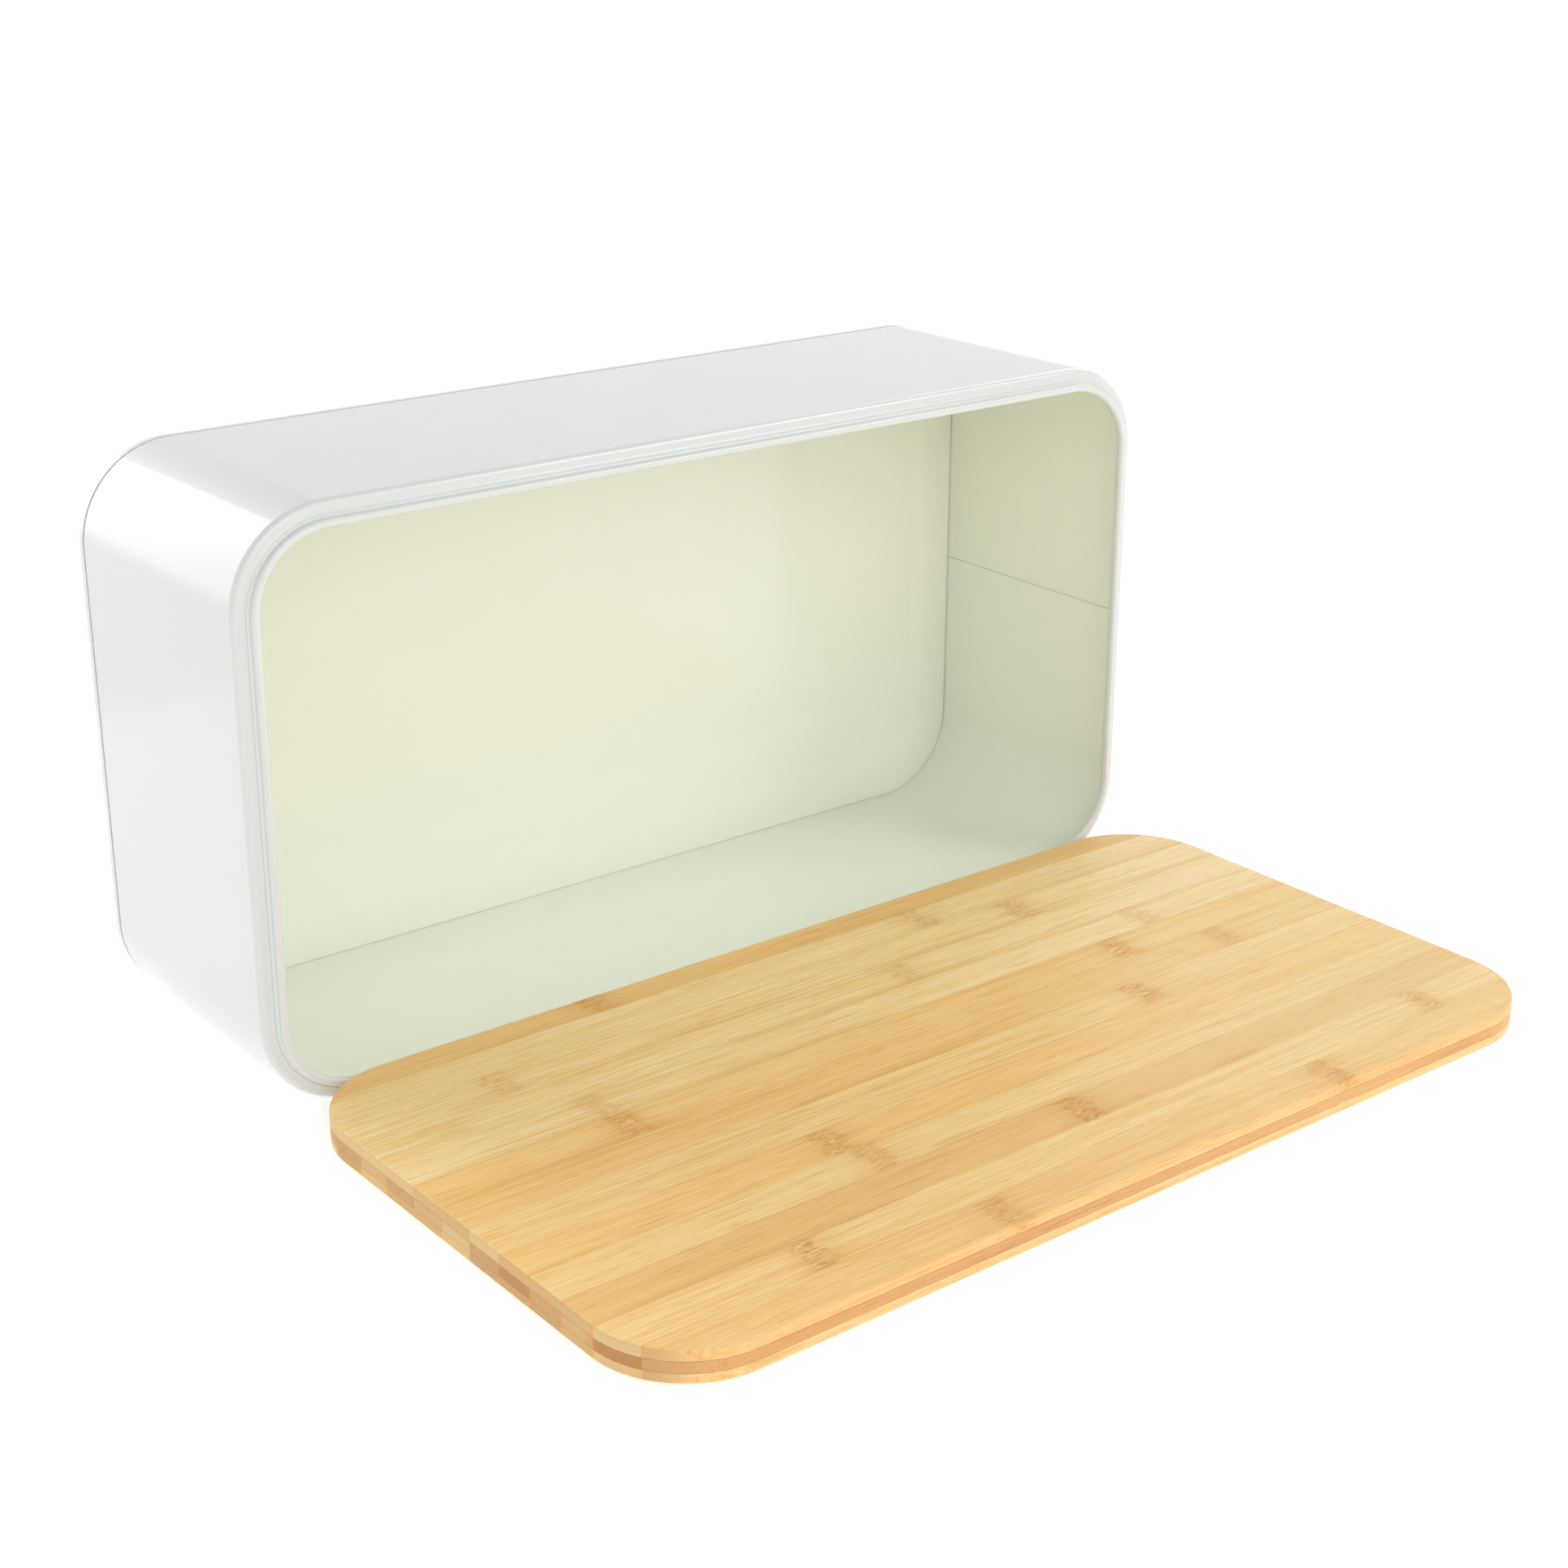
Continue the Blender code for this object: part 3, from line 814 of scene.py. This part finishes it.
def make_groove_cutter(board):
    """Ring-shaped solid that cuts the groove under the board."""
    def outline(inset, z):
        radius = LID_CORNER_RADIUS - inset
        points = []
        corners = ((board.right, board.front, -1, 1, -90), (board.right, board.back, -1, -1, 0),
                   (board.left, board.back, 1, -1, 90), (board.left, board.front, 1, 1, 180))
        for x, y, side_x, side_y, start in corners:
            for i in range(GROOVE_STEPS + 1):
                angle = math.radians(start + 90 * i / GROOVE_STEPS)
                points.append((x + side_x * LID_CORNER_RADIUS + radius * math.cos(angle),
                               y + side_y * LID_CORNER_RADIUS + radius * math.sin(angle), z))
        return points

    inner = GROOVE_INSET + GROOVE_WIDTH
    rings = [outline(GROOVE_INSET, -GROOVE_DEPTH), outline(GROOVE_INSET, GROOVE_DEPTH),
             outline(inner, GROOVE_DEPTH), outline(inner, -GROOVE_DEPTH)]
    return make_mesh_object("groove_cutter", rings, True, [])


def cut(obj, cutter):
    """Cut the groove into a strip and keep the result as its mesh."""
    groove = obj.modifiers.new("groove", "BOOLEAN")
    groove.operation = "DIFFERENCE"
    groove.solver = "EXACT"
    groove.object = cutter
    graph = bpy.context.evaluated_depsgraph_get()
    mesh = bpy.data.meshes.new_from_object(obj.evaluated_get(graph))
    mesh.set_sharp_from_angle(angle=SHARP_ANGLE)
    obj.modifiers.clear()
    obj.data = mesh


def vary(tone, dice):
    """A tone moved a little lighter or darker and a little warmer or cooler."""
    light = 1 + dice.uniform(-TONE_SPREAD, TONE_SPREAD)
    warm = dice.uniform(-TONE_SPREAD, TONE_SPREAD) / 2
    return (min(tone[0] * light, 0.95), tone[1] * light * (1 - warm / 2), tone[2] * light * (1 - warm))


def make_board():
    """Thirty-nine strips, each with its own grain."""
    board = Board()
    cutter = make_groove_cutter(board)
    dice = random.Random(DICE_SEED)
    for ply in PLIES:
        for number in range(1, STRIP_COUNT + 1):
            marks = ()
            tone = HIDDEN_TONES.get(ply)
            if ply == "top":
                tone, listed = TOP_STRIPS[number - 1]
                marks = [(kind, board.left + mm / 1000, strength) for kind, mm, strength in listed]
            end_tone = vary(ENDS[ply][number - 1], dice)
            side_tone = vary(tone, dice)
            seed = dice.uniform(*GRAIN_SEEDS)
            front, back = board.limits(ply, number)
            if number == STRIP_COUNT:
                front -= NO_NEIGHBOUR
            if number == 1:
                back += NO_NEIGHBOUR
            name = f"{ply}_strip_{number:02d}"
            material = make_bamboo("bamboo_" + name, side_tone, end_tone, seed, front, back, marks)
            rings = [board.ring(ply, number, inset, z) for z, inset in board.levels(ply)]
            strip = make_mesh_object(name, rings, False, [material])
            if ply == "bottom":
                cut(strip, cutter)
            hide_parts(f"lid_{ply}_strip_{number:02d}")
            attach(strip, "lid")
    bpy.data.objects.remove(cutter)


def make_floor():
    """Wide, plain, pale floor that stays nearly white between the soft shadows."""
    n = Nodes("floor_white")
    glow = n.add("ShaderNodeEmission")
    glow.inputs["Color"].default_value = (1.0, 1.0, 1.0, 1.0)
    glow.inputs["Strength"].default_value = FLOOR_GLOW
    both = n.add("ShaderNodeAddShader")
    n.tree.links.new(glow.outputs[0], both.inputs[0])
    n.tree.links.new(n.shader.outputs[0], both.inputs[1])
    n.tree.links.new(both.outputs[0], n.tree.nodes["Material Output"].inputs["Surface"])
    n.finish(Base_Color=FLOOR_TINT, Roughness=0.9, Specular_IOR_Level=0.1)
    mesh = bpy.data.meshes.new("floor")
    bm = bmesh.new()
    bmesh.ops.create_circle(bm, cap_ends=True, radius=FLOOR_RADIUS, segments=FLOOR_SIDES)
    bmesh.ops.translate(bm, verts=bm.verts, vec=(0.0, 0.0, -FLOOR_DROP))
    bm.to_mesh(mesh)
    bm.free()
    mesh.materials.append(n.material)
    floor = bpy.data.objects.new("floor", mesh)
    bpy.context.scene.collection.objects.link(floor)


def make_world():
    """Even white surroundings, a little cooler and dimmer overhead than in front."""
    world = bpy.data.worlds.new("studio")
    bpy.context.scene.world = world
    world.use_nodes = True
    nodes = world.node_tree.nodes
    links = world.node_tree.links
    direction = nodes.new("ShaderNodeTexCoord").outputs["Generated"]
    split = nodes.new("ShaderNodeSeparateXYZ")
    links.new(direction, split.inputs[0])
    height = nodes.new("ShaderNodeMapRange")
    links.new(split.outputs[2], height.inputs[0])
    height.inputs[1].default_value = 0.0
    height.inputs[2].default_value = OVERHEAD_FROM
    ramp = nodes.new("ShaderNodeMix")
    ramp.data_type = "RGBA"
    links.new(height.outputs[0], ramp.inputs[0])
    ramp.inputs[6].default_value = HORIZON
    ramp.inputs[7].default_value = OVERHEAD
    links.new(ramp.outputs[2], nodes["Background"].inputs["Color"])
    nodes["Background"].inputs["Strength"].default_value = 1.0


def make_softbox(name, place, target, width, height, power, colour):
    """Rectangular light at a place, pointed at a target."""
    data = bpy.data.lights.new(name, "AREA")
    data.shape = "RECTANGLE"
    data.size = width
    data.size_y = height
    data.energy = power
    data.color = colour
    light = bpy.data.objects.new(name, data)
    bpy.context.scene.collection.objects.link(light)
    light.visible_camera = False
    light.location = place
    light.rotation_euler = (Vector(target) - Vector(place)).to_track_quat("-Z", "Y").to_euler()


def make_card(name, corners, glow):
    """Glowing four-cornered card that the camera doesn't see."""
    mesh = bpy.data.meshes.new(name)
    mesh.from_pydata(corners, [], [(0, 1, 2, 3)])
    mesh.materials.append(glow)
    card = bpy.data.objects.new(name, mesh)
    bpy.context.scene.collection.objects.link(card)
    card.visible_camera = False
    return card


def make_card_glow():
    """Glow that grows to the right, to the back and upwards, then drops and fades away."""
    n = Nodes("card_glow")
    x, y, z = n.split(n.place)
    along = n.ramp(x, CARD_LEFT, CARD_LEFT + CARD_FADE)
    rise = n.ramp(n.math("MULTIPLY_ADD", y, 0.5, z), *CARD_RISE)
    share = n.math("MULTIPLY", along, rise)
    fading = n.ramp(x, CARD_RIGHT, CARD_DROP, 0.0, DIM_SHARE)
    dim = n.math("MULTIPLY", fading, n.math("GREATER_THAN", x, CARD_DROP))
    share = n.math("MULTIPLY", share, n.math("ADD", n.math("LESS_THAN", x, CARD_DROP), dim))
    glow = n.add("ShaderNodeEmission")
    n.feed(glow.inputs["Strength"], n.math("MULTIPLY_ADD", share, CARD_GLOW, CARD_BASE_GLOW))
    n.tree.links.new(glow.outputs[0], n.tree.nodes["Material Output"].inputs["Surface"])
    return n.material


def make_lights():
    """Softboxes, and two cards whose reflection runs along the bin's rounded corner."""
    for name, settings in SOFTBOXES.items():
        make_softbox(name, *settings)
    glow = make_card_glow()
    upright = [(CARD_LEFT, CARD_BACK, 0.0), (CARD_RIGHT, CARD_BACK, 0.0),
               (CARD_RIGHT, CARD_BACK, CARD_TOP), (CARD_LEFT, CARD_BACK, CARD_TOP)]
    make_card("corner_card", upright, glow)
    flat = [(CARD_LEFT, CARD_FRONT, CARD_LIFT), (CARD_DROP, CARD_FRONT, CARD_LIFT),
            (CARD_DROP, CARD_BACK, CARD_LIFT), (CARD_LEFT, CARD_BACK, CARD_LIFT)]
    low_card = make_card("floor_card", flat, glow)
    low_card.visible_diffuse = False
    low_card.visible_shadow = False


def make_camera():
    """Camera at the front, up and to the left, looking down at the mouth and the board."""
    data = bpy.data.cameras.new("camera")
    data.lens = CAMERA_LENS
    data.sensor_width = SENSOR_WIDTH
    data.clip_start, data.clip_end = CLIP
    camera = bpy.data.objects.new("camera", data)
    bpy.context.scene.collection.objects.link(camera)
    ahead = Vector((math.sin(CAMERA_YAW) * math.cos(CAMERA_PITCH),
                    math.cos(CAMERA_YAW) * math.cos(CAMERA_PITCH), math.sin(CAMERA_PITCH)))
    right = ahead.cross(Vector((0.0, 0.0, 1.0))).normalized()
    turn = Matrix.Rotation(-CAMERA_ROLL, 3, ahead)
    right = turn @ right
    up = right.cross(ahead)
    rows = Matrix((right, up, -ahead)).transposed().to_4x4()
    camera.matrix_world = Matrix.Translation(CAMERA_PLACE) @ rows
    bpy.context.scene.camera = camera


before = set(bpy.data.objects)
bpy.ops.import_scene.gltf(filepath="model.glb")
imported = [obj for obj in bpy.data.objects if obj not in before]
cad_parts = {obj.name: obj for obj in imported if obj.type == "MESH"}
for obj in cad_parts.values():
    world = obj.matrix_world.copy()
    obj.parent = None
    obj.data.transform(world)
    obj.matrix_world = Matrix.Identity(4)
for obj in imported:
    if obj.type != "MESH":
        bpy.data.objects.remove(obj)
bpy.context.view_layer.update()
shape = Bin()
enamel = make_enamel("enamel")
make_wall(shape, enamel)
make_base(shape, enamel)
make_board()
make_floor()
make_world()
make_lights()
make_camera()
bpy.context.scene.view_settings.view_transform = "Standard"
